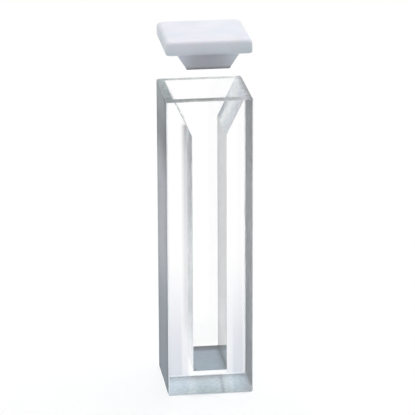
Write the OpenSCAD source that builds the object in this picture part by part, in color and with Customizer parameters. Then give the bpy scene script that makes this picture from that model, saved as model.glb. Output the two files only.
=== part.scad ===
// Semi-micro spectrophotometer cell, fused from five glass plates, with its loose PTFE lid.
// X runs across the side blocks, Y along the light path, Z up. The origin is the centre of the foot.

/* [Cell] */
// Outer width across the two side blocks
cell_w = 12.5; // [11:0.1:16]
// Outer depth along the light path
cell_d = 12.5; // [8:0.1:24]
// Height of the glass
cell_h = 45; // [30:0.5:60]
// Thickness of each polished window
window_t = 1.25; // [0.8:0.05:2]
// Grind at the long outer edges, the rim and the foot
edge_chamfer = 0.15; // [0.05:0.01:0.3]

/* [Chamber] */
// Width of the chamber between the side blocks
chamber_w = 5; // [2:0.1:6]
// Height of the solid glass under the chamber
floor_h = 3.5; // [1:0.1:12]
// Depth of the funnel ground into the side blocks
funnel_h = 5.5; // [3:0.1:9]
// Thickness left on each side block at the rim
rim_wall = 1.05; // [0.6:0.05:1.5]

/* [Lid] */
// Distance that the lid plate stands in from the cell's outer faces
lid_inset = 0.05; // [0:0.05:0.4]
// Thickness of the lid plate
plate_t = 2.1; // [1.5:0.1:4]
// Rounding of the plate's upright corners
plate_corner_r = 0.5; // [0.2:0.05:1]
// Rounding of the plate's upper edges
plate_top_r = 0.7; // [0.1:0.05:0.9]
// Rounding of the plate's lower edges
plate_foot_r = 0.3; // [0.05:0.05:0.35]
// Depth of the plug under the plate
plug_h = 2.45; // [1.5:0.05:3]
// Clearance between the plug and the funnel at the rim
plug_rim_gap = 0.55; // [0.2:0.05:0.8]
// Clearance between the plug and the funnel at the plug's foot
plug_foot_gap = 0.8; // [0.2:0.05:1]
// Clearance between the plug and each window
plug_window_gap = 0.2; // [0.1:0.05:0.5]
// Rounding of the plug's lower edges
plug_foot_r = 0.25; // [0.1:0.05:0.4]
// Height of the lid's underside above the rim, with the lid held off the cell
lid_raise = 6.6; // [0:0.1:15]

/* [Hidden] */
$fn = 48;

cut = 1;                                  // how far a cutting body runs past what it cuts
chamber_d = cell_d - 2 * window_t;        // light path through the sample
mouth_half = cell_w / 2 - rim_wall;       // half the funnel's width at the rim
funnel_slope = (mouth_half - chamber_w / 2) / funnel_h;
plate_w = cell_w - 2 * lid_inset;
plate_d = cell_d - 2 * lid_inset;
plug_d = chamber_d - 2 * plug_window_gap;
seat_z = cell_h;                          // the lid's underside when it is closed

// Half the clear width between the side blocks, at a depth under the rim
function funnel_half(depth) = max(chamber_w / 2, mouth_half - depth * funnel_slope);

// ---- Profiles ----

// A rectangle standing on the X axis, centred on Y, with its four corners ground at 45 degrees
module chamfered_section(w, h, c) {
    polygon([
        [-w / 2 + c, 0], [w / 2 - c, 0], [w / 2, c], [w / 2, h - c],
        [w / 2 - c, h], [-w / 2 + c, h], [-w / 2, h - c], [-w / 2, c],
    ]);
}

// A rectangle standing on the X axis, centred on Y, with one radius at the foot and one at the top
module rounded_section(w, h, foot_r, top_r) {
    union() {
        translate([-w / 2, foot_r]) square([w, h - foot_r - top_r]);
        translate([-w / 2 + foot_r, 0]) square([w - 2 * foot_r, foot_r]);
        translate([-w / 2 + top_r, h - top_r]) square([w - 2 * top_r, top_r]);
        for (side = [-1, 1]) {
            translate([side * (w / 2 - foot_r), foot_r]) circle(r = foot_r);
            translate([side * (w / 2 - top_r), h - top_r]) circle(r = top_r);
        }
    }
}

// The plug seen along the light path: it hangs under the X axis and narrows to a rounded foot
module plug_section(top_half, foot_half, h, r) {
    lean = atan((top_half - foot_half) / h);
    tangent = r * tan((90 - lean) / 2);
    // the blend meets the side this far out and up from the corner
    side_out = tangent * sin(lean);
    side_up = tangent * cos(lean);
    union() {
        polygon([
            [-top_half, 0], [top_half, 0],
            [foot_half + side_out, side_up - h], [foot_half - tangent, -h],
            [tangent - foot_half, -h], [-foot_half - side_out, side_up - h],
        ]);
        for (side = [-1, 1])
            translate([side * (foot_half - tangent), r - h]) circle(r = r);
    }
}

// Stands a profile up in the XZ plane and runs it along Y, centred
module along_y(length) {
    rotate([90, 0, 0]) linear_extrude(length, center = true) children();
}

// Stands a profile up in the YZ plane and runs it along X, centred
module along_x(length) {
    rotate([90, 0, 90]) linear_extrude(length, center = true) children();
}

// ---- Glass ----

// The outside of the fused cell with every outer edge ground
module cell_envelope() {
    intersection() {
        along_y(cell_d + cut) chamfered_section(cell_w, cell_h, edge_chamfer);
        along_x(cell_w + cut) chamfered_section(cell_d, cell_h, edge_chamfer);
        linear_extrude(cell_h)
            translate([0, -cell_d / 2]) chamfered_section(cell_w, cell_d, edge_chamfer);
    }
}

// A polished plate over the whole front or back of the cell
module window(side) {
    color([0.86, 0.91, 0.93, 0.4]) intersection() {
        cell_envelope();
        translate([0, side * (cell_d - window_t) / 2, cell_h / 2])
            cube([cell_w + cut, window_t, cell_h], center = true);
    }
}

// A block between the windows, ground outside, with its inner top edge cut back into the funnel
module side_block(side) {
    color([0.72, 0.77, 0.81, 0.6]) intersection() {
        cell_envelope();
        along_y(chamber_d) polygon([
            [side * chamber_w / 2, 0],
            [side * cell_w / 2, 0],
            [side * cell_w / 2, cell_h],
            [side * mouth_half, cell_h],
            [side * chamber_w / 2, cell_h - funnel_h],
        ]);
    }
}

// The solid block that closes the chamber at the foot
module base_block() {
    color([0.66, 0.71, 0.76, 0.6])
        translate([-chamber_w / 2, -chamber_d / 2, 0]) cube([chamber_w, chamber_d, floor_h]);
}

// ---- Lid ----

// The square plate, rounded at its corners and round its edges
module lid_plate() {
    intersection() {
        along_y(cell_d) rounded_section(plate_w, plate_t, plate_foot_r, plate_top_r);
        along_x(cell_w) rounded_section(plate_d, plate_t, plate_foot_r, plate_top_r);
        linear_extrude(plate_t) translate([0, -plate_d / 2])
            rounded_section(plate_w, plate_d, plate_corner_r, plate_corner_r);
    }
}

// The tapered plug: its sloped sides drop into the funnel, its flat sides pass between the windows
module lid_plug() {
    top_half = mouth_half - plug_rim_gap;
    foot_half = funnel_half(plug_h) - plug_foot_gap;
    intersection() {
        along_y(plug_d) plug_section(top_half, foot_half, plug_h, plug_foot_r);
        along_x(cell_w) plug_section(plug_d / 2, plug_d / 2, plug_h, plug_foot_r);
    }
}

module lid() {
    color([0.93, 0.93, 0.96]) translate([0, 0, seat_z + lid_raise]) union() {
        lid_plate();
        lid_plug();
    }
}

window(-1);  // front_window
window(1);  // back_window
side_block(-1);  // left_side_block
side_block(1);  // right_side_block
base_block();
lid();
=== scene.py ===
import math

import bpy
import numpy as np
from mathutils import Matrix, Vector


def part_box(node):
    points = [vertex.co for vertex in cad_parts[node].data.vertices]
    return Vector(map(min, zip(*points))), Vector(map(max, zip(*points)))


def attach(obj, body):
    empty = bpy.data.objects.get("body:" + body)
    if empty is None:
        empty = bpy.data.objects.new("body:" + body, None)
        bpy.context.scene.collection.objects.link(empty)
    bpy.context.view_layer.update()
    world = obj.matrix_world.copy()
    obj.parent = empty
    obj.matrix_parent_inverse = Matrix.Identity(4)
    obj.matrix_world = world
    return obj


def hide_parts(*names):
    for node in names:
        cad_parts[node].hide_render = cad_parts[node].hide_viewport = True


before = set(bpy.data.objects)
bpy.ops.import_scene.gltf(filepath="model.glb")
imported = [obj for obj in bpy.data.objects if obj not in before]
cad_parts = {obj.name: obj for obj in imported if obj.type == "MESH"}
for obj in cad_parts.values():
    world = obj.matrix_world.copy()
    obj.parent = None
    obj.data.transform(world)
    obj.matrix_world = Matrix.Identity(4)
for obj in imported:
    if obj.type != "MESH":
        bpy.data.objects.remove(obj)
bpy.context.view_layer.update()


# ---- Camera --------------------------------------------------------------------------------
# A long lens, a little above the cell and a little to its left, so that the left side face and
# the rim show as well as the front window. It aims at the middle of the cell and lid together.

MM = 0.001
camera_turn = math.radians(-7.3)
camera_rise = math.radians(18.8)
camera_roll = math.radians(-0.22)
camera_range = 418 * MM
camera_orbits = Vector((0, 0, 22.5 * MM))
camera_aims_at = Vector((0.41 * MM, 0, 26.9 * MM))
lens_length = 247              # this and the sensor's width are in the camera's own millimetres
sensor_width = 36

camera = bpy.data.objects.new("camera", bpy.data.cameras.new("camera"))
bpy.context.scene.collection.objects.link(camera)
camera.data.sensor_width = sensor_width
camera.data.lens = lens_length
outward = Vector((
    math.sin(camera_turn) * math.cos(camera_rise),
    -math.cos(camera_turn) * math.cos(camera_rise),
    math.sin(camera_rise),
))
camera_at = camera_orbits + camera_range * outward
camera_faces = (camera_aims_at - camera_at).to_track_quat("-Z", "Y").to_matrix()
camera.matrix_world = (
    Matrix.Translation(camera_at)
    @ camera_faces.to_4x4()
    @ Matrix.Rotation(camera_roll, 4, "Z")
)
bpy.context.scene.camera = camera

# ---- Fused glass cell ----------------------------------------------------------------------
# Two polished windows, two side blocks and a base block of optical glass, fused into one body
# with no glue. Its skin runs up the outside, over the rim, down the funnel and the chamber to
# the floor, so light passes from plate to plate as it does in the real cell.

window_low, window_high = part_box("front_window")
block_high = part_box("right_side_block")[1]
base_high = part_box("base_block")[1]
cell_half_x = window_high.x
cell_half_y = -window_low.y
cell_top = window_high.z
window_inner_y = block_high.y
chamber_half_x = base_high.x
chamber_floor_z = base_high.z
arris = 0.15 * MM              # grind on the outer edges
fused_corner = 0.04 * MM       # the small fillet left in a fused inner corner
touching = 0.01 * MM           # points of a block this near a plane lie in it

block_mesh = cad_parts["right_side_block"].data
block_points = np.empty(len(block_mesh.vertices) * 3)
block_mesh.vertices.foreach_get("co", block_points)
block_points = block_points.reshape(-1, 3)
kink_z = block_points[np.abs(block_points[:, 0] - chamber_half_x) < touching, 2].max()
mouth_half_x = block_points[block_points[:, 2] > cell_top - touching, 0].min()


def carried_outline(half_x, half_y, corner, height, arc_steps):
    """A rectangle with rounded corners, carried along a path of sizes. At each step of the path a
    point of the outline is its corner's centre, which is the half size less the corner radius
    with the quadrant's signs, plus the radius times the cosine and sine of the angle there.
    Returns points as an array of path step, outline step, and X, Y, Z."""
    quadrant = np.repeat(np.arange(4), arc_steps + 1)
    within = np.tile(np.linspace(0, 1, arc_steps + 1), 4)
    angle = (quadrant + within) * math.pi / 2
    sign_x = np.array([1, -1, -1, 1])[quadrant]
    sign_y = np.array([1, 1, -1, -1])[quadrant]
    size_x, size_y, radius, level = (
        np.asarray(values, float)[:, None] for values in (half_x, half_y, corner, height)
    )
    x = sign_x * (size_x - radius) + radius * np.cos(angle)
    y = sign_y * (size_y - radius) + radius * np.sin(angle)
    z = np.broadcast_to(level, x.shape)
    return np.stack([x, y, z], axis=-1)


def closed_skin(name, rings):
    """Makes a closed mesh from rings of points: quads join each ring to the next, and one flat
    face closes each end. Faces look outwards where the path starts under the solid."""
    steps, around = rings.shape[:2]
    ring, place = np.meshgrid(np.arange(steps - 1), np.arange(around), indexing="ij")
    following = (place + 1) % around
    quads = np.stack([
        ring * around + place,
        ring * around + following,
        (ring + 1) * around + following,
        (ring + 1) * around + place,
    ], axis=-1).reshape(-1, 4)
    first_cap = list(range(around))[::-1]
    last_cap = list(range((steps - 1) * around, steps * around))
    mesh = bpy.data.meshes.new(name)
    mesh.from_pydata(rings.reshape(-1, 3).tolist(), [], quads.tolist() + [first_cap, last_cap])
    piece = bpy.data.objects.new(name, mesh)
    bpy.context.scene.collection.objects.link(piece)
    return piece


# One line per ring: half width, half depth, corner and height, from the foot up and back down.
cell_path = np.array([
    [cell_half_x - arris, cell_half_y - arris, arris, 0],
    [cell_half_x, cell_half_y, arris, arris],
    [cell_half_x, cell_half_y, arris, cell_top - arris],
    [cell_half_x - arris, cell_half_y - arris, arris, cell_top],
    [mouth_half_x, window_inner_y, fused_corner, cell_top],
    [chamber_half_x, window_inner_y, fused_corner, kink_z],
    [chamber_half_x, window_inner_y, fused_corner, chamber_floor_z],
])
glass_cell = closed_skin("glass_cell", carried_outline(*cell_path.T, arc_steps=1))

# The finishes. The windows are polished clear. Everything else is as it came from the grinding
# wheel: coarse on the outer sides, the rim and the foot, finer on the walls of the chamber. Most
# of their greys are painted shade, with some painted light on the rim.

GLASS_IOR = 1.52


def add_node(tree, kind, inputs=None, **settings):
    """Adds a node and sets its properties. In inputs, a socket is linked to the named or numbered
    input, and anything else becomes that input's own value."""
    node = tree.nodes.new("ShaderNode" + kind)
    for name, value in settings.items():
        setattr(node, name, value)
    for key, value in (inputs or {}).items():
        if isinstance(value, bpy.types.NodeSocket):
            tree.links.new(value, node.inputs[key])
        else:
            node.inputs[key].default_value = value
    return node


def new_material(name, **plain):
    """A material with its Principled shader, and that shader's plain values."""
    material = bpy.data.materials.new(name)
    material.use_nodes = True
    shader = material.node_tree.nodes["Principled BSDF"]
    for key, value in plain.items():
        shader.inputs[key.replace("_", " ")].default_value = value
    return material, material.node_tree, shader


def lets_lamps_through(tree, shader, tint):
    """Lamps reach what is behind the glass: a shadow ray meets a tinted clear shader instead."""
    clear = add_node(tree, "BsdfTransparent", {"Color": (*tint, 1)})
    path = add_node(tree, "LightPath")
    mix = add_node(tree, "MixShader", {
        "Fac": path.outputs["Is Shadow Ray"], 1: shader.outputs["BSDF"], 2: clear.outputs["BSDF"],
    })
    tree.links.new(mix.outputs["Shader"], tree.nodes["Material Output"].inputs["Surface"])


def places(tree):
    """The object's own X, Y and Z as three sockets, in metres."""
    where = add_node(tree, "TexCoord").outputs["Object"]
    return tuple(add_node(tree, "SeparateXYZ", {"Vector": where}).outputs)


def tone_along(tree, place, low, high, stops):
    """A colour that changes along one axis: each stop is a share of the way from low to high and
    the colour there."""
    share = add_node(tree, "MapRange", {"Value": place, "From Min": low, "From Max": high})
    ramp = add_node(tree, "ValToRGB", {"Fac": share.outputs["Result"]})
    elements = ramp.color_ramp.elements
    while len(elements) < len(stops):
        elements.new(0.5)
    for element, (position, colour) in zip(elements, stops):
        element.position = position
        element.color = (*colour, 1)
    return ramp.outputs["Color"]


def soft_step(tree, place, zero, one):
    """A share that turns smoothly from 0 to 1 as the place goes from the first to the second."""
    return add_node(tree, "MapRange", {"Value": place, "From Min": zero, "From Max": one},
                    interpolation_type="SMOOTHSTEP").outputs["Result"]


def product(tree, first, second):
    """Two shares multiplied."""
    return add_node(tree, "Math", {0: first, 1: second}, operation="MULTIPLY").outputs[0]


def size_of(tree, number):
    """A number without its sign."""
    return add_node(tree, "Math", {0: number}, operation="ABSOLUTE").outputs[0]


def on_the_right(tree, x):
    """1 over the right half of the cell and 0 over the left half."""
    return add_node(tree, "Math", {0: x, 1: 0.0}, operation="GREATER_THAN").outputs[0]


def from_inside(tree):
    """1 where a face is seen from inside the glass and 0 where it is seen from outside."""
    return add_node(tree, "NewGeometry").outputs["Backfacing"]


def mixed(tree, blend, factor, first, second):
    """Two colours mixed in the given way. A Mix node keeps its factor at 0, its two colours at 6
    and 7, and the mixed colour at output 2."""
    return add_node(tree, "Mix", {0: factor, 6: first, 7: second},
                    data_type="RGBA", blend_type=blend).outputs[2]


def grinding_group():
    """The wheel's mark on glass: a fine grain, faint streaks along the way the wheel ran, and
    coarser cloudy spots. Each is a noise about its middle times its own strength, added to 1. The
    grain and the streaks also raise the surface."""
    grain_per_metre = 5200.0
    spots_per_metre = 1500.0
    streaks_per_metre = (2600.0, 2600.0, 70.0)
    bump_height = 0.01 * MM
    bump_strength = 0.35
    group = bpy.data.node_groups.new("grinding", "ShaderNodeTree")
    for name, kind, way in (
        ("Color", "NodeSocketColor", "INPUT"), ("Grain", "NodeSocketFloat", "INPUT"),
        ("Spots", "NodeSocketFloat", "INPUT"), ("Streaks", "NodeSocketFloat", "INPUT"),
        ("Roughness", "NodeSocketFloat", "INPUT"), ("Color", "NodeSocketColor", "OUTPUT"),
        ("Roughness", "NodeSocketFloat", "OUTPUT"), ("Normal", "NodeSocketVector", "OUTPUT"),
    ):
        group.interface.new_socket(name, in_out=way, socket_type=kind)
    given = group.nodes.new("NodeGroupInput").outputs
    where = add_node(group, "TexCoord").outputs["Object"]
    along = add_node(group, "Mapping", {"Vector": where, "Scale": streaks_per_metre}).outputs[0]

    def noise_mark(vector, scale, detail, strength, base):
        """The base plus a noise about its middle times the strength."""
        noise = add_node(group, "TexNoise", {"Vector": vector, "Scale": scale, "Detail": detail})
        less = add_node(group, "Math", {0: noise.outputs["Fac"], 1: 0.5}, operation="SUBTRACT")
        return add_node(
            group, "Math", {0: less.outputs[0], 1: strength, 2: base}, operation="MULTIPLY_ADD"
        ).outputs[0]

    grained = noise_mark(where, grain_per_metre, 4.0, given["Grain"], 1.0)
    height = noise_mark(along, 1.0, 3.0, given["Streaks"], grained)
    mark = noise_mark(where, spots_per_metre, 2.0, given["Spots"], height)
    toned = add_node(group, "VectorMath", {0: given["Color"], "Scale": mark}, operation="SCALE")
    bump = add_node(group, "Bump", {
        "Strength": bump_strength, "Distance": bump_height, "Height": height,
    })
    result = group.nodes.new("NodeGroupOutput").inputs
    group.links.new(toned.outputs[0], result["Color"])
    group.links.new(product(group, given["Roughness"], height), result["Roughness"])
    group.links.new(bump.outputs["Normal"], result["Normal"])
    return group


GRINDING = grinding_group()


def ground(tree, shader, colour, grain, spots, streaks, roughness):
    """Puts the wheel's mark on a colour and feeds the shader with it."""
    mark = add_node(tree, "Group", {
        "Color": colour, "Grain": grain, "Spots": spots, "Streaks": streaks,
        "Roughness": roughness,
    }, node_tree=GRINDING).outputs
    tree.links.new(mark["Color"], shader.inputs["Base Color"])
    tree.links.new(mark["Roughness"], shader.inputs["Roughness"])
    tree.links.new(mark["Normal"], shader.inputs["Normal"])


def by_angle(tree, square_on, low_angle, starts=0.6, ends=0.85):
    """Ground glass passes light where it is looked at squarely, and greys at a low angle, where it
    takes the low-angle colour: painted shade. The share of grey rises as the facing share, 0 for a
    square look and 1 for a grazing one, goes from the start to the end."""
    facing = add_node(tree, "LayerWeight", {"Blend": 0.5}).outputs["Facing"]
    return mixed(tree, "MIX", soft_step(tree, facing, starts, ends), square_on, low_angle)


def polished_glass():
    """The windows. Low down, over the side blocks, they carry a faint lilac painted shade, deepest
    at the foot, which clears at the right edge. At the back a soft grey line follows the left
    joint, plain through the glass and faint from outside."""
    shade_top = 20 * MM
    shade_starts, shade_full = 3.0 * MM, 3.6 * MM          # out from the middle
    edge_clear, edge_shaded = 6.15 * MM, 5.75 * MM
    line_outer, line_outer_full = -3.4 * MM, -2.6 * MM
    line_inner, line_inner_full = -2.2 * MM, -2.35 * MM
    line_starts, line_full = 0.0, 1 * MM                   # towards the back
    line_from_outside = 0.3
    material, tree, shader = new_material(
        "polished_glass", Roughness=0.0, IOR=GLASS_IOR, Transmission_Weight=1.0
    )
    x, y, z = places(tree)
    over_blocks = soft_step(tree, size_of(tree, x), shade_starts, shade_full)
    off_the_edge = soft_step(tree, x, edge_clear, edge_shaded)
    # The lilac grey here is painted shade, deepest at the foot and gone 20 mm up.
    painted_low_shade = tone_along(tree, z, 0, shade_top, [
        (0.0, (0.68, 0.71, 0.77)), (0.35, (0.74, 0.76, 0.81)), (0.7, (0.91, 0.91, 0.94)),
        (1.0, (1, 1, 1)),
    ])
    low_shaded = mixed(tree, "MIX", product(tree, over_blocks, off_the_edge), (1, 1, 1, 1), painted_low_shade)
    joint = product(
        tree,
        soft_step(tree, x, line_outer, line_outer_full),
        soft_step(tree, x, line_inner, line_inner_full),
    )
    joint = product(tree, joint, soft_step(tree, y, line_starts, line_full))
    strength = add_node(tree, "MapRange", {
        "Value": from_inside(tree), "To Min": line_from_outside, "To Max": 1.0,
    }).outputs["Result"]
    line = tone_along(tree, z, 0, cell_top, [
        (0.0, (1, 1, 1)), (0.13, (0.95, 0.95, 0.96)), (0.19, (0.70, 0.71, 0.73)),
        (0.3, (0.62, 0.63, 0.65)), (0.46, (0.60, 0.61, 0.63)), (0.63, (0.48, 0.49, 0.51)),
        (0.76, (0.40, 0.41, 0.43)), (0.84, (0.22, 0.23, 0.25)), (0.866, (0.20, 0.20, 0.21)),
        (0.878, (1, 1, 1)),
    ])
    colour = mixed(tree, "MULTIPLY", product(tree, joint, strength), low_shaded, line)
    tree.links.new(colour, shader.inputs["Base Color"])
    lets_lamps_through(tree, shader, tint=(0.96, 0.97, 0.98))
    return material


def ground_side():
    """The outer side faces and the long arrises: coarse, with painted shade that darkens towards
    the edges and the ends. On the right face the painted shade is much greyer where it is seen
    from inside the glass."""
    material, tree, shader = new_material(
        "ground_side", IOR=GLASS_IOR, Transmission_Weight=0.75, Specular_IOR_Level=0.2
    )
    x, y, z = places(tree)
    # These greys along the height, across the depth and on the right face seen from inside are
    # painted shade, shown at a low angle.
    up = tone_along(tree, z, 0, cell_top, [
        (0.0, (0.15, 0.17, 0.19)), (0.25, (0.16, 0.18, 0.20)), (0.45, (0.27, 0.28, 0.31)),
        (0.72, (0.27, 0.28, 0.31)), (0.84, (0.13, 0.14, 0.15)), (0.9, (0.14, 0.15, 0.16)),
        (0.95, (0.19, 0.21, 0.22)), (1.0, (0.20, 0.22, 0.23)),
    ])
    across = tone_along(tree, y, -cell_half_y, cell_half_y, [
        (0.0, (0.80, 0.82, 0.84)), (0.12, (0.82, 0.84, 0.86)), (0.3, (1, 1, 1)),
        (0.7, (1, 1, 1)), (0.9, (0.86, 0.88, 0.87)), (1.0, (0.80, 0.82, 0.82)),
    ])
    side = tone_along(tree, x, -cell_half_x, cell_half_x, [
        (0.0, (1, 1, 1)), (0.4, (1, 1, 1)), (0.6, (0.26, 0.26, 0.26)), (1.0, (0.26, 0.26, 0.26)),
    ])
    outside = mixed(tree, "MULTIPLY", 1.0, up, across)
    low_angle = mixed(tree, "MULTIPLY", from_inside(tree), outside, side)
    colour = by_angle(tree, (0.90, 0.93, 0.95, 1), low_angle)
    ground(tree, shader, colour, grain=0.3, spots=0.3, streaks=0.3, roughness=0.95)
    lets_lamps_through(tree, shader, tint=(0.75, 0.77, 0.79))
    return material


def ground_rim():
    """The rim: coarse, with painted light that is palest over the right block, where light falls
    through it, and painted shade along its left and right edges and at the front.
    """
    material, tree, shader = new_material("ground_rim", IOR=GLASS_IOR, Transmission_Weight=0.35)
    x, y, _ = places(tree)
    # Painted light over the right block and painted shade at both edges.
    colour = tone_along(tree, x, -cell_half_x, cell_half_x, [
        (0.0, (0.33, 0.37, 0.37)), (0.08, (0.46, 0.53, 0.54)), (0.2, (0.74, 0.76, 0.75)),
        (0.8, (0.86, 0.87, 0.88)), (0.91, (0.93, 0.94, 0.96)), (0.96, (0.52, 0.54, 0.58)),
        (1.0, (0.20, 0.22, 0.24)),
    ])
    # Painted shade towards the front.
    across = tone_along(tree, y, -cell_half_y, cell_half_y, [
        (0.0, (0.80, 0.80, 0.80)), (0.1, (0.86, 0.86, 0.86)), (0.2, (1, 1, 1)), (1.0, (1, 1, 1)),
    ])
    toned = mixed(tree, "MULTIPLY", 1.0, colour, across)
    ground(tree, shader, toned, grain=0.4, spots=1.0, streaks=0.0, roughness=0.5)
    lets_lamps_through(tree, shader, tint=(0.7, 0.72, 0.74))
    return material


def ground_foot():
    """The foot: coarse and pale, with painted shade darkest along its two long edges. Its middle,
    under the chamber, carries a little more painted shade, most of all at the back, and a faint
    darker line near its right-hand edge. Places across are taken along lines that lean a little to
    the right at the back."""
    lean = -0.04
    base_starts, base_full = 3.0 * MM, 2.0 * MM            # out from the middle
    material, tree, shader = new_material(
        "ground_foot", IOR=GLASS_IOR, Transmission_Weight=0.2, Specular_IOR_Level=0.1
    )
    x, y, _ = places(tree)
    leaning = add_node(tree, "Math", {0: y, 1: lean, 2: x}, operation="MULTIPLY_ADD").outputs[0]
    # The greyer middle here, and the darker front and back edges below, are painted shade.
    colour = tone_along(tree, leaning, -cell_half_x, cell_half_x, [
        (0.0, (0.63, 0.73, 0.79)), (0.2, (0.60, 0.70, 0.76)), (0.35, (0.54, 0.63, 0.69)),
        (0.38, (0.45, 0.555, 0.61)), (0.645, (0.45, 0.545, 0.60)), (0.665, (0.27, 0.34, 0.385)),
        (0.685, (0.27, 0.34, 0.385)), (0.71, (0.45, 0.545, 0.59)), (0.85, (0.51, 0.61, 0.66)),
        (1.0, (0.42, 0.48, 0.52)),
    ])
    across = tone_along(tree, y, -cell_half_y, cell_half_y, [
        (0.0, (0.56, 0.54, 0.53)), (0.1, (0.86, 0.81, 0.77)), (0.3, (0.93, 0.90, 0.87)),
        (0.5, (1.0, 0.97, 0.95)), (0.65, (0.98, 0.96, 0.94)), (0.75, (0.86, 0.85, 0.84)),
        (0.85, (0.66, 0.65, 0.65)), (0.93, (0.48, 0.47, 0.47)), (1.0, (0.44, 0.43, 0.43)),
    ])
    toned = mixed(tree, "MULTIPLY", 1.0, colour, across)
    # Painted shade over the middle, under the chamber, deepest at the back.
    back_shade = tone_along(tree, y, -cell_half_y, cell_half_y, [
        (0.5, (1, 1, 1)), (0.75, (0.90, 0.90, 0.91)), (0.9, (0.60, 0.60, 0.62)),
        (1.0, (0.54, 0.54, 0.56)),
    ])
    on_the_base = soft_step(tree, size_of(tree, leaning), base_starts, base_full)
    greyed = mixed(tree, "MULTIPLY", on_the_base, toned, back_shade)
    ground(tree, shader, greyed, grain=0.4, spots=1.0, streaks=0.0, roughness=0.5)
    lets_lamps_through(tree, shader, tint=(0.7, 0.72, 0.74))
    return material


def funnel():
    """The funnel's slopes: ground and bright, with painted shade that greys them towards the
    front, and cloudy spots. Low down at the back of the right one a darker line of painted shade
    shows at a low angle. Both slopes take a painted grey shade where they are seen almost edge on."""
    line_ends, line_full = 43.5 * MM, 41 * MM
    material, tree, shader = new_material(
        "funnel", IOR=GLASS_IOR, Transmission_Weight=0.75, Specular_IOR_Level=0.2
    )
    x, y, z = places(tree)
    # Painted shade: the slope greys towards the front.
    slope = tone_along(tree, y, -window_inner_y, window_inner_y, [
        (0.0, (0.52, 0.54, 0.58)), (0.1, (0.58, 0.61, 0.66)), (0.28, (0.64, 0.68, 0.73)),
        (0.42, (0.74, 0.79, 0.84)), (0.55, (0.98, 1.0, 1.0)), (0.68, (0.96, 0.99, 1.0)),
        (1.0, (0.90, 0.95, 1.0)),
    ])
    # A line of painted shade, low down at the back of the right slope.
    shade_line = tone_along(tree, y, -window_inner_y, window_inner_y, [
        (0.70, (1, 1, 1)), (0.82, (0.50, 0.53, 0.57)), (0.92, (0.18, 0.20, 0.23)),
        (1.0, (0.12, 0.14, 0.16)),
    ])
    there = product(tree, soft_step(tree, z, line_ends, line_full), on_the_right(tree, x))
    lined = mixed(tree, "MULTIPLY", there, slope, shade_line)
    bright = by_angle(tree, slope, lined, starts=0.5, ends=0.72)
    colour = by_angle(tree, bright, (0.50, 0.51, 0.52, 1), starts=0.9, ends=0.97)
    ground(tree, shader, colour, grain=0.3, spots=1.3, streaks=0.0, roughness=0.4)
    lets_lamps_through(tree, shader, tint=(0.85, 0.87, 0.88))
    return material


def inner_wall():
    """The chamber's side walls: fine ground, so that they mirror the floor at a low angle. The
    left one carries a grey painted shade that is deeper towards its front joint and the top, and
    is rougher where the shade is deeper. The right one carries painted shade, greyer along its
    back joint and down at the floor."""
    light_shade_rough, deep_shade_rough = 0.31, 1.0
    right_rough = 0.08
    material, tree, shader = new_material("inner_wall", IOR=GLASS_IOR, Transmission_Weight=0.8)
    x, y, z = places(tree)
    # The right wall's greys are painted shade: darkest down at the floor and greyer along the back
    # joint.
    right_up = tone_along(tree, z, 0, cell_top, [
        (0.0, (0.03, 0.05, 0.05)), (0.08, (0.03, 0.05, 0.05)), (0.19, (0.24, 0.255, 0.27)),
        (0.3, (0.11, 0.12, 0.13)), (1.0, (0.09, 0.10, 0.11)),
    ])
    right_across = tone_along(tree, y, -window_inner_y, window_inner_y, [
        (0.0, (0.82, 0.82, 0.83)), (0.2, (1, 1, 1)), (0.6, (0.97, 0.97, 0.97)),
        (0.8, (0.60, 0.61, 0.62)), (1.0, (0.38, 0.39, 0.40)),
    ])
    # The left wall's grey is painted shade, deeper at the top and towards the front; the same
    # share sets the roughness.
    wall_shade_up = tone_along(tree, z, 0, cell_top, [
        (0.12, (0.0, 0.0, 0.0)), (0.27, (0.64, 0.64, 0.64)),
        (0.46, (0.58, 0.58, 0.58)), (0.63, (0.93, 0.93, 0.93)), (0.8, (1, 1, 1)),
    ])
    wall_shade_across = tone_along(tree, y, -window_inner_y, window_inner_y, [
        (0.0, (0.75, 0.75, 0.75)), (0.3, (0.95, 0.95, 0.95)), (0.6, (0.88, 0.88, 0.88)),
        (0.85, (0.68, 0.68, 0.68)), (1.0, (0.62, 0.62, 0.62)),
    ])
    wall_shade = mixed(tree, "MULTIPLY", 1.0, wall_shade_up, wall_shade_across)
    left = mixed(tree, "MIX", wall_shade, (1.0, 1.0, 1.0, 1), (0.04, 0.05, 0.06, 1))
    right = mixed(tree, "MULTIPLY", 1.0, right_up, right_across)
    on_right_wall = on_the_right(tree, x)
    low_angle = mixed(tree, "MIX", on_right_wall, left, right)
    colour = by_angle(tree, (0.82, 0.86, 0.88, 1), low_angle)
    rough_left = add_node(tree, "MapRange", {
        "Value": wall_shade, "To Min": light_shade_rough, "To Max": deep_shade_rough,
    }).outputs["Result"]
    rough = mixed(tree, "MIX", on_right_wall, rough_left, (right_rough,) * 3 + (1,))
    ground(tree, shader, colour, grain=0.1, spots=0.2, streaks=0.1, roughness=rough)
    lets_lamps_through(tree, shader, tint=(0.9, 0.92, 0.93))
    return material


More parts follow.
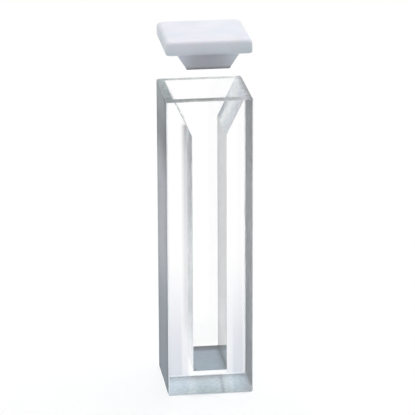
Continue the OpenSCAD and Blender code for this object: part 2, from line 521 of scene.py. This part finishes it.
def chamber_floor():
    """The chamber's floor: coarse, with painted shade that is darkest along its back joint and
    deepens towards its two sides.
    """
    material, tree, shader = new_material("chamber_floor", IOR=GLASS_IOR, Transmission_Weight=0.2)
    x, y, _ = places(tree)
    # Painted shade along the floor and across it.
    along = tone_along(tree, y, -window_inner_y, window_inner_y, [
        (0.0, (0.19, 0.24, 0.28)), (0.08, (0.23, 0.285, 0.33)), (0.75, (0.21, 0.26, 0.32)),
        (0.88, (0.05, 0.06, 0.08)), (1.0, (0.01, 0.02, 0.03)),
    ])
    across = tone_along(tree, x, -chamber_half_x, chamber_half_x, [
        (0.0, (0.3, 0.3, 0.3)), (0.07, (0.6, 0.6, 0.6)), (0.14, (1, 1, 1)),
        (0.84, (1, 1, 1)), (0.94, (0.78, 0.78, 0.78)), (1.0, (0.45, 0.45, 0.45)),
    ])
    low_angle = mixed(tree, "MULTIPLY", 1.0, along, across)
    colour = by_angle(tree, (0.66, 0.71, 0.74, 1), low_angle, starts=0.4, ends=0.65)
    ground(tree, shader, colour, grain=0.4, spots=0.6, streaks=0.0, roughness=0.5)
    lets_lamps_through(tree, shader, tint=(0.7, 0.72, 0.74))
    return material


FINISHES = [
    polished_glass, ground_side, ground_rim, ground_foot, funnel, inner_wall, chamber_floor,
]
# One line per stretch of the path: its finish at the windows, and its finish everywhere else.
STRETCHES = [
    (ground_side, ground_side),       # foot arris
    (polished_glass, ground_side),    # outer wall
    (ground_rim, ground_rim),         # rim arris
    (ground_rim, ground_rim),         # rim
    (polished_glass, funnel),         # funnel
    (polished_glass, inner_wall),     # chamber
]
OUTLINE_SIDES = 8                     # four flat sides and the four corners between them
WINDOW_SIDES = (1, 5)                 # the back side and the front side

for finish in FINISHES:
    glass_cell.data.materials.append(finish())
finish_of_face = [
    at_a_window if side in WINDOW_SIDES else elsewhere
    for at_a_window, elsewhere in STRETCHES
    for side in range(OUTLINE_SIDES)
] + [ground_foot, chamber_floor]
glass_cell.data.polygons.foreach_set(
    "material_index", [FINISHES.index(finish) for finish in finish_of_face]
)
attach(glass_cell, "cell")
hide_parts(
    "front_window", "back_window", "left_side_block", "right_side_block", "base_block"
)

# ---- Lid -----------------------------------------------------------------------------------
# One piece of white PTFE: a square plate with soft edges and, under it, a plug whose sides slope
# like the funnel that it drops into. It is waxy, and a little light sinks into it.

lid_low, lid_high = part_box("lid")
seat_gap = 0.02 * MM           # keeps the plate's underside clear of the rim when it is closed
plug_h = 2.45 * MM
plug_window_gap = 0.2 * MM
plug_rim_gap = 0.55 * MM
plug_foot_x = 3.2 * MM
plug_foot_r = 0.25 * MM
plug_corner = 0.12 * MM
plate_corner = 0.5 * MM
plate_top_corner = 0.6 * MM
plate_top_r = 0.7 * MM
plate_foot_r = 0.3 * MM
plate_z = lid_low.z + plug_h + seat_gap
lid_half = lid_high.x
plug_half_y = window_inner_y - plug_window_gap
plug_top_x = mouth_half_x - plug_rim_gap
quarter_turn = np.linspace(0, math.pi / 2, 8)
sharp_over = math.radians(32)  # edges that turn by more than this stay sharp


def lid_path():
    """Half width, half depth, corner and height at each ring: out over the plug's foot, up its
    sloping sides, out under the plate, and round the plate's edge to its flat top. A rounded edge
    is its radius times 1 less the sine or cosine of the angle, taken off the full size."""
    sine, cosine = np.sin(quarter_turn), np.cos(quarter_turn)
    flat = np.ones(quarter_turn.shape)
    plug_turn = np.stack([
        plug_foot_x - plug_foot_r * (1 - sine),
        plug_half_y - plug_foot_r * (1 - sine),
        flat * plug_corner,
        lid_low.z + plug_foot_r * (1 - cosine),
    ], axis=1)
    plug_root = [[plug_top_x, plug_half_y, plug_corner, plate_z]]
    under_turn = np.stack([
        lid_half - plate_foot_r * (1 - sine),
        lid_half - plate_foot_r * (1 - sine),
        flat * plate_corner,
        plate_z + plate_foot_r * (1 - cosine),
    ], axis=1)
    top_turn = np.stack([
        lid_half - plate_top_r * (1 - cosine),
        lid_half - plate_top_r * (1 - cosine),
        flat * plate_top_corner,
        lid_high.z - plate_top_r * (1 - sine),
    ], axis=1)
    return np.concatenate([plug_turn, plug_root, under_turn, top_turn])


lid = closed_skin("ptfe_lid", carried_outline(*lid_path().T, arc_steps=6))
lid.data.polygons.foreach_set("use_smooth", [True] * len(lid.data.polygons))
lid.data.set_sharp_from_angle(angle=sharp_over)


def white_ptfe():
    """Waxy white plastic: lilac white on top, with painted shade that greys it down the plate's
    edge and onto the plug, deepest along the plug's foot and in its middle; with a dull soft
    sheen, faint clouds, a slow drift of colour and a fine grain."""
    clouds_per_metre = 260.0
    drift_per_metre = 130.0
    grain_per_metre = 3000.0
    noise_low, noise_high = 0.3, 0.7                       # most of a noise lies between them
    cloud_dark, cloud_light = 0.96, 1.03
    grain_height = 0.02 * MM
    grain_strength = 0.25
    plug_tone_ends, plug_tone_full = plate_z + 0.5 * MM, plate_z - 0.1 * MM
    material, tree, shader = new_material(
        "white_ptfe", Roughness=0.45, IOR=1.38, Subsurface_Weight=0.15, Subsurface_Scale=0.5 * MM
    )
    x, _, z = places(tree)
    where = add_node(tree, "TexCoord").outputs["Object"]

    def noise(scale, detail):
        """A noise of so many lumps to the metre."""
        return add_node(
            tree, "TexNoise", {"Vector": where, "Scale": scale, "Detail": detail}
        ).outputs["Fac"]

    # Painted shade: the lid greys from the top down, darkest along the plug's foot.
    up = tone_along(tree, z, lid_low.z, lid_high.z, [
        (0.0, (0.23, 0.235, 0.27)), (0.06, (0.43, 0.44, 0.48)), (0.11, (0.62, 0.65, 0.71)),
        (0.50, (0.68, 0.72, 0.79)), (0.56, (0.62, 0.68, 0.74)), (0.66, (0.68, 0.75, 0.81)),
        (0.80, (0.75, 0.80, 0.87)), (1.0, (0.84, 0.85, 0.92)),
    ])
    # Painted shade on the plug, deepest in its middle and lighter at its sloping ends.
    slopes = tone_along(tree, x, -plug_top_x, plug_top_x, [
        (0.0, (1, 1, 1)), (0.1, (0.93, 0.93, 0.93)), (0.3, (0.76, 0.75, 0.74)),
        (0.5, (0.71, 0.70, 0.70)), (0.7, (0.76, 0.76, 0.75)), (0.88, (0.95, 0.95, 0.95)),
        (1.0, (1, 1, 1)),
    ])
    on_the_plug = soft_step(tree, z, plug_tone_ends, plug_tone_full)
    plug_shaded = mixed(tree, "MULTIPLY", on_the_plug, up, slopes)
    cast = tone_along(tree, noise(drift_per_metre, 1.0), noise_low, noise_high, [
        (0.0, (0.95, 0.99, 1.0)), (0.5, (1, 1, 1)), (1.0, (1.0, 0.98, 1.0)),
    ])
    toned = mixed(tree, "MULTIPLY", 1.0, plug_shaded, cast)
    clouded = add_node(tree, "MapRange", {
        "Value": noise(clouds_per_metre, 2.0), "From Min": noise_low, "From Max": noise_high,
        "To Min": cloud_dark, "To Max": cloud_light,
    }).outputs["Result"]
    colour = add_node(tree, "VectorMath", {0: toned, "Scale": clouded}, operation="SCALE")
    tree.links.new(colour.outputs[0], shader.inputs["Base Color"])
    bump = add_node(tree, "Bump", {
        "Strength": grain_strength, "Distance": grain_height,
        "Height": noise(grain_per_metre, 3.0),
    })
    tree.links.new(bump.outputs["Normal"], shader.inputs["Normal"])
    return material


lid.data.materials.append(white_ptfe())
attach(lid, "lid")
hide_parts("lid")

# ---- Table and light -----------------------------------------------------------------------
# A plain white table and one large soft lamp, high up behind the cell and to its right, in an even
# white room. The table shows white to the eye and through the glass, and keeps the soft shadow.

table_half = 600 * MM
table_gap = 0.05 * MM          # keeps the table's face clear of the ground foot
table_glow, table_glow_to_the_eye = 0.22, 0.38
room_level, room_level_to_the_eye = 0.52, 1.0
lamp_strength = 1.5
lamp_width = math.radians(55)
lamp_shines = Vector((-0.2, -0.3, -0.93))

table_mesh = bpy.data.meshes.new("table_top")
table_mesh.from_pydata(
    [(-table_half, -table_half, -table_gap), (table_half, -table_half, -table_gap),
     (table_half, table_half, -table_gap), (-table_half, table_half, -table_gap)],
    [], [(0, 1, 2, 3)],
)
table = bpy.data.objects.new("table_top", table_mesh)
bpy.context.scene.collection.objects.link(table)


def plain_to_the_eye(tree, low, high):
    """A level that is high for what the camera sees, straight or by gloss or through glass, and
    low for the light that falls on things."""
    path = add_node(tree, "LightPath").outputs
    shown = add_node(tree, "Math", {0: path["Is Camera Ray"], 1: path["Is Glossy Ray"]},
                     operation="MAXIMUM")
    seen = add_node(tree, "Math", {0: shown.outputs[0], 1: path["Is Transmission Ray"]},
                    operation="MAXIMUM")
    return add_node(tree, "MapRange", {
        "Value": seen.outputs[0], "To Min": low, "To Max": high,
    }).outputs["Result"]


table_material, table_tree, table_shader = new_material(
    "white_table", Base_Color=(0.65, 0.65, 0.65, 1), Roughness=1.0, Specular_IOR_Level=0.0,
    Emission_Color=(1, 1, 1, 1),
)
table_tree.links.new(
    plain_to_the_eye(table_tree, table_glow, table_glow_to_the_eye),
    table_shader.inputs["Emission Strength"],
)
table.data.materials.append(table_material)

room = bpy.data.worlds.new("white_room")
bpy.context.scene.world = room
room.use_nodes = True
sky = room.node_tree.nodes["Background"]
sky.inputs["Color"].default_value = (1, 1, 1, 1)
room.node_tree.links.new(
    plain_to_the_eye(room.node_tree, room_level, room_level_to_the_eye), sky.inputs["Strength"]
)

lamp = bpy.data.objects.new("soft_lamp", bpy.data.lights.new("soft_lamp", "SUN"))
lamp.data.energy = lamp_strength
lamp.data.angle = lamp_width
lamp.rotation_euler = lamp_shines.to_track_quat("-Z", "Y").to_euler()
bpy.context.scene.collection.objects.link(lamp)

# Colours come out as they are written, and light may cross all the faces of the glass.
scene = bpy.context.scene
scene.view_settings.view_transform = "Standard"
scene.cycles.max_bounces = 24
scene.cycles.glossy_bounces = 16
scene.cycles.transmission_bounces = 24
scene.cycles.transparent_max_bounces = 16
